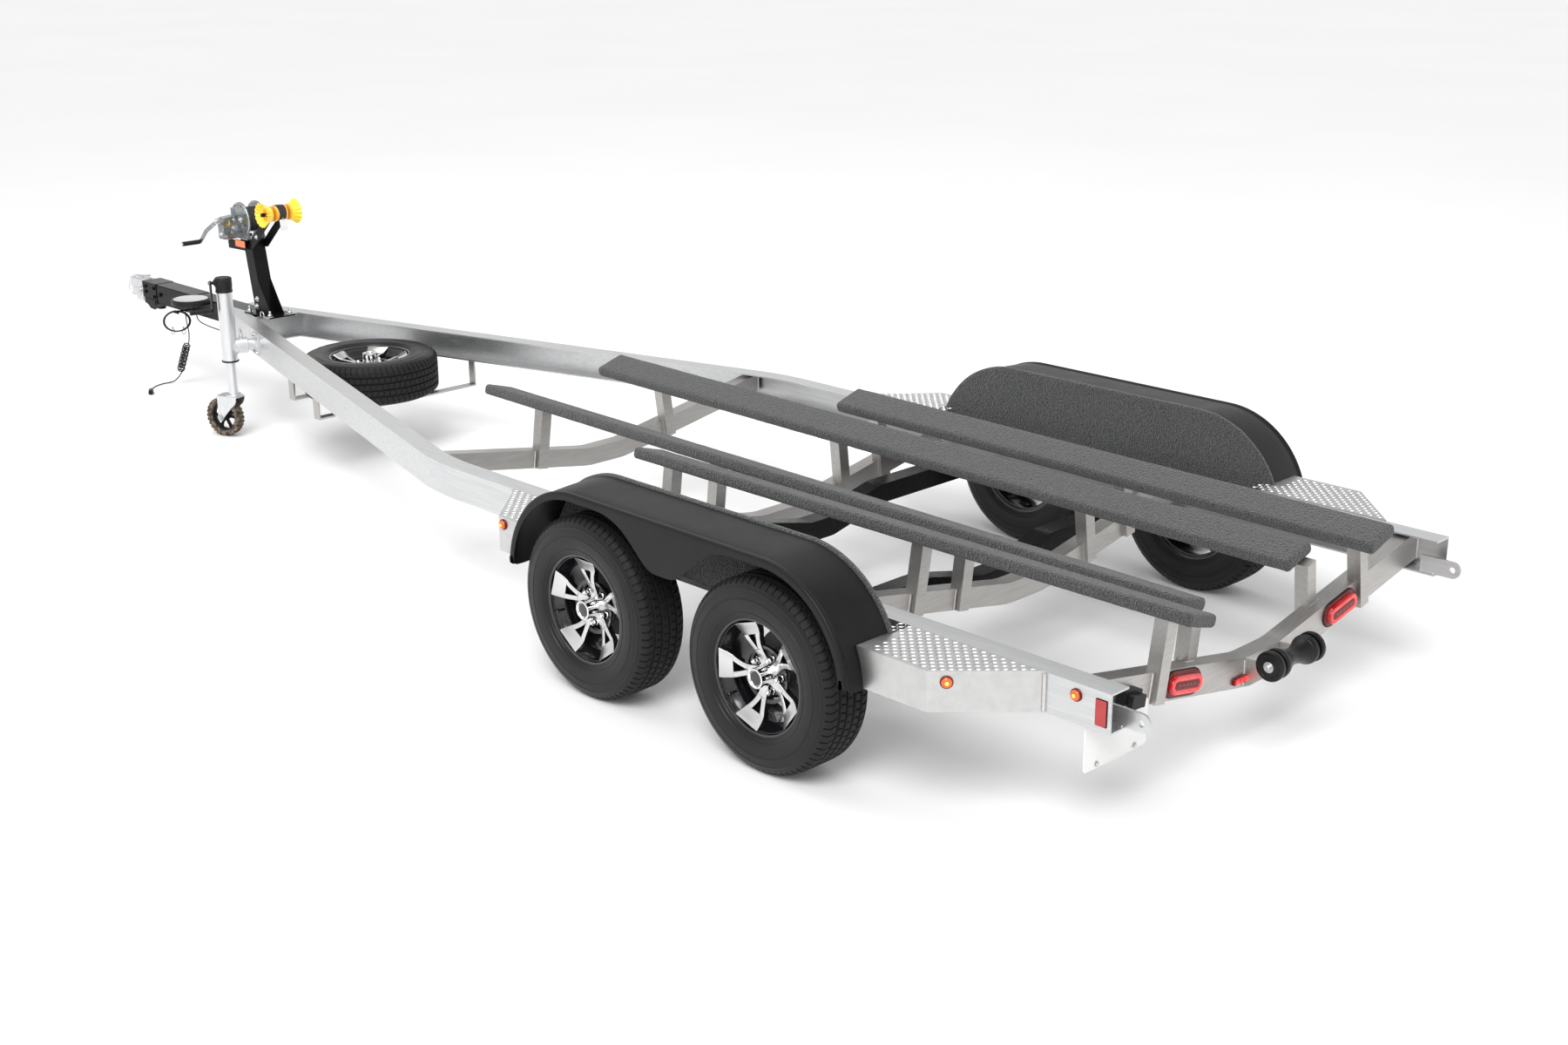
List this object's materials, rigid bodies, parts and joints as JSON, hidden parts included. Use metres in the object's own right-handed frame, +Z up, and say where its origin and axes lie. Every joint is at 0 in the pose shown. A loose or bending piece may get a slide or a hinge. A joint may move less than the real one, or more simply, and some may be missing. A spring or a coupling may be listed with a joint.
{
  "type": "boat trailer",
  "caption": "Tandem-axle aluminium boat trailer: converging channel rails on a tongue, carpeted bunks, fenders, winch post with bow roller, swivel jack and spare wheel.",
  "frame": {"origin": "on the floor under the middle of the trailer", "axes": "+X forward to the coupler, +Y to the left (near) side, +Z up"},
  "size_m": [7.6289, 2.552, 1.13],
  "materials": {
    "frame_aluminium": "mill finish",
    "tread_plate": "bright diamond plate",
    "carpet": "looped marine carpet",
    "fender_black": "satin black",
    "black_steel": "gloss black",
    "tyre_rubber": "moulded rubber",
    "alloy_wheel": "machined faces, black windows",
    "zinc_steel": "bright zinc plate",
    "webbing": "woven strap",
    "black_plastic": "moulded",
    "yellow_plastic": "translucent",
    "silver_paint": "satin silver",
    "black_rubber": "moulded",
    "red_lens": "clear lens",
    "plate_white": "blank, gloss",
    "cord_black": "flexible sheath"
  },
  "bodies": {
    "frame": {"actuator": "black_steel", "axle_front": "black_steel", "axle_rear": "black_steel", "bow_yoke": "black_steel", "brake_line": "cord_black", "bunk_posts": "frame_aluminium", "bunks_inner": "carpet", "bunks_outer": "carpet", "cord_coil": "cord_black", "cord_lead": "cord_black", "cord_plug": "cord_black", "cord_tail": "cord_black", "coupler": "zinc_steel", "crossmember_axle": "frame_aluminium", "crossmember_front": "frame_aluminium", "crossmember_mid": "frame_aluminium", "crossmember_rear": "frame_aluminium", "fender_boards": "carpet", "fenders": "fender_black", "foot_pad": "black_plastic", "jack_mount": "silver_paint", "keel_bracket": "frame_aluminium", "marker_bar": "red_lens", "nose_crossmember": "frame_aluminium", "number_plate": "plate_white", "pad_bracket": "black_steel", "rail_left": "frame_aluminium", "rail_right": "frame_aluminium", "safety_cables": "cord_black", "spare_carrier": "frame_aluminium", "spare_rim": "alloy_wheel", "spare_tyre": "tyre_rubber", "step_boxes_front": "frame_aluminium", "step_boxes_rear": "frame_aluminium", "step_treads_front": "tread_plate", "step_treads_rear": "tread_plate", "tail_lamps": "red_lens", "tongue": "black_steel", "winch_frame": "zinc_steel", "winch_post": "black_steel"},
    "wheel_front_left": {"tyre_front_left": "tyre_rubber", "rim_front_left": "alloy_wheel"},
    "wheel_front_right": {"tyre_front_right": "tyre_rubber", "rim_front_right": "alloy_wheel"},
    "wheel_rear_left": {"tyre_rear_left": "tyre_rubber", "rim_rear_left": "alloy_wheel"},
    "wheel_rear_right": {"tyre_rear_right": "tyre_rubber", "rim_rear_right": "alloy_wheel"},
    "jack_outer": {"jack_tube": "silver_paint", "jack_cap": "black_plastic"},
    "jack_lift": {"jack_inner": "silver_paint"},
    "jack_caster": {"jack_fork": "silver_paint"},
    "jack_roller": {"jack_wheel": "black_rubber"},
    "jack_handle": {"jack_crank": "black_plastic"},
    "winch_reel": {"winch_drum": "webbing"},
    "winch_handle": {"winch_crank": "zinc_steel"},
    "bow_stop": {"bow_roller": "yellow_plastic", "bow_spool": "webbing"},
    "keel_stop": {"keel_roller": "black_rubber"}
  },
  "joints": [
    {"name": "wheel_front_left_spin", "type": "hinge", "parent": "frame", "child": "wheel_front_left", "pos_m": [-1.7405, 1.15, 0.326], "axis": [0, 1, 0], "continuous": true},
    {"name": "wheel_front_right_spin", "type": "hinge", "parent": "frame", "child": "wheel_front_right", "pos_m": [-1.7405, -1.15, 0.326], "axis": [0, 1, 0], "continuous": true},
    {"name": "wheel_rear_left_spin", "type": "hinge", "parent": "frame", "child": "wheel_rear_left", "pos_m": [-2.5895, 1.15, 0.326], "axis": [0, 1, 0], "continuous": true},
    {"name": "wheel_rear_right_spin", "type": "hinge", "parent": "frame", "child": "wheel_rear_right", "pos_m": [-2.5895, -1.15, 0.326], "axis": [0, 1, 0], "continuous": true},
    {"name": "jack_swing", "type": "hinge", "parent": "frame", "child": "jack_outer", "pos_m": [2.05893, 0.32262, 0.462], "axis": [0.2696, 0.963, 0], "range_deg": [0, 90]},
    {"name": "jack_raise", "type": "slide", "parent": "jack_outer", "child": "jack_lift", "axis": [0, 0, 1], "range_m": [-0.12, 0.16]},
    {"name": "jack_caster_swivel", "type": "hinge", "parent": "jack_lift", "child": "jack_caster", "pos_m": [2.0805, 0.39966, 0.21], "axis": [0, 0, 1], "continuous": true},
    {"name": "jack_wheel_spin", "type": "hinge", "parent": "jack_caster", "child": "jack_roller", "pos_m": [2.14134, 0.42253, 0.1], "axis": [-0.3518, 0.9361, 0], "continuous": true},
    {"name": "jack_crank_turn", "type": "hinge", "parent": "jack_outer", "child": "jack_handle", "pos_m": [2.09667, 0.45743, 0.788], "axis": [0.2696, 0.963, 0], "continuous": true},
    {"name": "winch_crank_turn", "type": "hinge", "parent": "frame", "child": "winch_handle", "pos_m": [2.5575, 0.12, 0.996], "axis": [0, 1, 0], "continuous": true},
    {"name": "winch_drum_turn", "type": "hinge", "parent": "frame", "child": "winch_reel", "pos_m": [2.4835, 0, 1.002], "axis": [0, 1, 0], "continuous": true},
    {"name": "bow_roller_spin", "type": "hinge", "parent": "frame", "child": "bow_stop", "pos_m": [2.1845, 0, 1.066], "axis": [0, 1, 0], "continuous": true},
    {"name": "keel_roller_spin", "type": "hinge", "parent": "frame", "child": "keel_stop", "pos_m": [-3.7155, 0, 0.356], "axis": [0, 1, 0], "continuous": true}
  ],
  "couplings": [
    {"joint": "winch_drum_turn", "follows": "winch_crank_turn", "ratio": -0.2}
  ]
}
